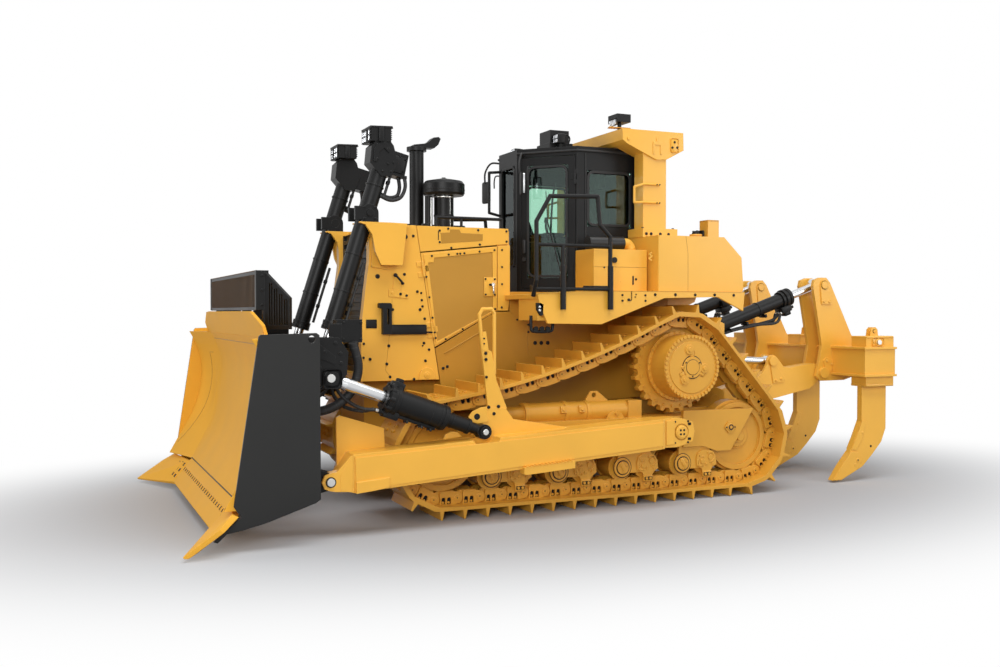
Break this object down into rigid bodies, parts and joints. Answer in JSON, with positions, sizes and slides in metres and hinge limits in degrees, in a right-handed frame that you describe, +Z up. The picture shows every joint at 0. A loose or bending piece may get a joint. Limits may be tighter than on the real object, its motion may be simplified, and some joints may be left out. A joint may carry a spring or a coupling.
{
  "type": "crawler dozer",
  "caption": "Large crawler dozer with raised drive sprockets, semi-U blade with trash rack, twin lift cylinders, enclosed cab and a three-shank rear ripper.",
  "frame": {"origin": "on the ground, under the middle of the machine's length and width", "axes": "+X forward, over the blade; +Y to the machine's left; +Z up"},
  "size_m": [8.242, 4.31, 4.1505],
  "materials": {
    "yellow_paint": "semi-gloss",
    "frame_paint": "semi-gloss",
    "ochre_panel": "satin",
    "black_paint": "satin",
    "track_steel": "satin",
    "rod_chrome": "polished",
    "window_glass": "clear",
    "seat_trim": "matte",
    "ground_tools": "semi-gloss"
  },
  "bodies": {
    "tractor": {"main_frame": "frame_paint", "ripper_brackets": "frame_paint", "engine_block": "black_paint", "radiator_guard": "yellow_paint", "radiator_grille": "black_paint", "lift_yokes": "black_paint", "hood": "yellow_paint", "exhaust_stack": "black_paint", "air_precleaner": "black_paint", "cab_shell": "black_paint", "cab_glass": "window_glass", "operator_seat": "seat_trim", "rops": "yellow_paint", "work_lamps": "black_paint", "fenders": "yellow_paint", "fuel_tank": "yellow_paint", "side_boxes": "yellow_paint", "handrails": "black_paint", "roller_frame_left": "frame_paint", "roller_frame_right": "frame_paint", "track_wheels_left": "frame_paint", "track_wheels_right": "frame_paint", "final_drives": "frame_paint", "track_left": "track_steel", "track_right": "track_steel"},
    "push_arms": {"push_arms": "yellow_paint"},
    "blade": {"blade_moldboard": "yellow_paint", "blade_brackets": "black_paint", "blade_edges": "ground_tools", "blade_side_plates": "black_paint", "trash_rack": "black_paint"},
    "lift_barrels": {"lift_barrels": "black_paint"},
    "lift_rods": {"lift_rods": "rod_chrome"},
    "tilt_barrels": {"tilt_barrels": "black_paint"},
    "tilt_rods": {"tilt_rods": "rod_chrome"},
    "ripper_link": {"ripper_link": "yellow_paint"},
    "ripper_pins": {"ripper_pins": "black_paint"},
    "ripper_carriage": {"ripper_carriage": "yellow_paint", "ripper_shanks": "ground_tools"},
    "ripper_tilt_pins": {"ripper_tilt_pins": "black_paint"},
    "ripper_tilt_barrels": {"ripper_tilt_barrels": "black_paint"},
    "ripper_tilt_rods": {"ripper_tilt_rods": "rod_chrome"},
    "ripper_lift_barrels": {"ripper_lift_barrels": "black_paint"},
    "ripper_lift_rods": {"ripper_lift_rods": "rod_chrome"},
    "cab_door_left": {"cab_door_left": "black_paint", "door_glass_left": "window_glass"},
    "cab_door_right": {"cab_door_right": "black_paint", "door_glass_right": "window_glass"},
    "engine_door_left": {"engine_door_left": "ochre_panel"},
    "engine_door_right": {"engine_door_right": "ochre_panel"}
  },
  "joints": [
    {"name": "blade_lift", "type": "hinge", "parent": "tractor", "child": "push_arms", "pos_m": [-0.831, 0, 0.762], "axis": [0, -1, 0], "range_deg": [-7, 16]},
    {"name": "blade_pitch", "type": "hinge", "parent": "push_arms", "child": "blade", "pos_m": [2.829, 0, 0.497], "axis": [0, 1, 0], "range_deg": [-6, 6]},
    {"name": "lift_barrel_swing", "type": "hinge", "parent": "tractor", "child": "lift_barrels", "pos_m": [2.169, 0, 2.96], "axis": [0, -1, 0], "range_deg": [-3.4, 7.76]},
    {"name": "lift_rod_slide", "type": "slide", "parent": "lift_barrels", "child": "lift_rods", "axis": [0.3017, 0, -0.9534], "range_m": [-0.9957, 0.4359]},
    {"name": "tilt_barrel_swing", "type": "hinge", "parent": "push_arms", "child": "tilt_barrels", "pos_m": [1.349, 0, 0.865], "axis": [0, -1, 0], "range_deg": [-1.21, 1.21]},
    {"name": "tilt_rod_slide", "type": "slide", "parent": "tilt_barrels", "child": "tilt_rods", "axis": [0.9388, 0, 0.3444], "range_m": [-0.09, 0.09]},
    {"name": "ripper_lift", "type": "hinge", "parent": "tractor", "child": "ripper_link", "pos_m": [-1.966, 0, 0.976], "axis": [0, 1, 0], "range_deg": [-25, 30]},
    {"name": "ripper_pins_turn", "type": "hinge", "parent": "ripper_link", "child": "ripper_pins", "pos_m": [-3.518, 0, 1.25], "axis": [0, 1, 0], "range_deg": [-22.94, 19.11]},
    {"name": "ripper_tilt", "type": "hinge", "parent": "ripper_pins", "child": "ripper_carriage", "pos_m": [-3.518, 0, 1.25], "axis": [0, 1, 0], "range_deg": [-10, 10]},
    {"name": "ripper_tilt_pin_turn", "type": "hinge", "parent": "tractor", "child": "ripper_tilt_pins", "pos_m": [-1.966, 0, 1.785], "axis": [0, 1, 0], "range_deg": [-25.11, 30.12]},
    {"name": "ripper_tilt_barrel_swing", "type": "hinge", "parent": "ripper_tilt_pins", "child": "ripper_tilt_barrels", "pos_m": [-1.966, 0, 1.785], "axis": [0, 1, 0], "range_deg": [-2.11, 2.11]},
    {"name": "ripper_tilt_rod_slide", "type": "slide", "parent": "ripper_tilt_barrels", "child": "ripper_tilt_rods", "axis": [-0.9475, 0, 0.3199], "range_m": [-0.1753, 0.1753]},
    {"name": "ripper_lift_barrel_swing", "type": "hinge", "parent": "tractor", "child": "ripper_lift_barrels", "pos_m": [-1.521, 0, 1.48], "axis": [0, -1, 0], "range_deg": [-19.03, 15.86]},
    {"name": "ripper_lift_rod_slide", "type": "slide", "parent": "ripper_lift_barrels", "child": "ripper_lift_rods", "axis": [-0.9981, 0, -0.0621], "range_m": [-0.2548, 0.2124]},
    {"name": "cab_door_left_swing", "type": "hinge", "parent": "tractor", "child": "cab_door_left", "pos_m": [-0.12147, 0.75406, 0], "axis": [0, 0, 1], "range_deg": [0, 85]},
    {"name": "cab_door_right_swing", "type": "hinge", "parent": "tractor", "child": "cab_door_right", "pos_m": [-0.12147, -0.75406, 0], "axis": [0, 0, -1], "range_deg": [0, 85]},
    {"name": "engine_door_left_swing", "type": "hinge", "parent": "tractor", "child": "engine_door_left", "pos_m": [1.4335, 0.634, 1.625], "axis": [-0.157, 0, -0.9876], "range_deg": [0, 100]},
    {"name": "engine_door_right_swing", "type": "hinge", "parent": "tractor", "child": "engine_door_right", "pos_m": [1.4335, -0.634, 1.625], "axis": [0.157, 0, 0.9876], "range_deg": [0, 100]}
  ],
  "couplings": [
    {"joint": "lift_barrel_swing", "follows": "blade_lift", "ratio": 0.4843},
    {"joint": "lift_rod_slide", "follows": "blade_lift", "m_per_rad": -3.5637},
    {"joint": "tilt_barrel_swing", "follows": "blade_pitch", "ratio": -0.1992},
    {"joint": "tilt_rod_slide", "follows": "blade_pitch", "m_per_rad": 0.855},
    {"joint": "ripper_pins_turn", "follows": "ripper_lift", "ratio": -0.7642},
    {"joint": "ripper_tilt_pin_turn", "follows": "ripper_lift", "ratio": 1.0038},
    {"joint": "ripper_tilt_barrel_swing", "follows": "ripper_tilt", "ratio": 0.2097},
    {"joint": "ripper_tilt_rod_slide", "follows": "ripper_tilt", "m_per_rad": -1.0018},
    {"joint": "ripper_lift_barrel_swing", "follows": "ripper_lift", "ratio": -0.634},
    {"joint": "ripper_lift_rod_slide", "follows": "ripper_lift", "m_per_rad": -0.4856}
  ]
}
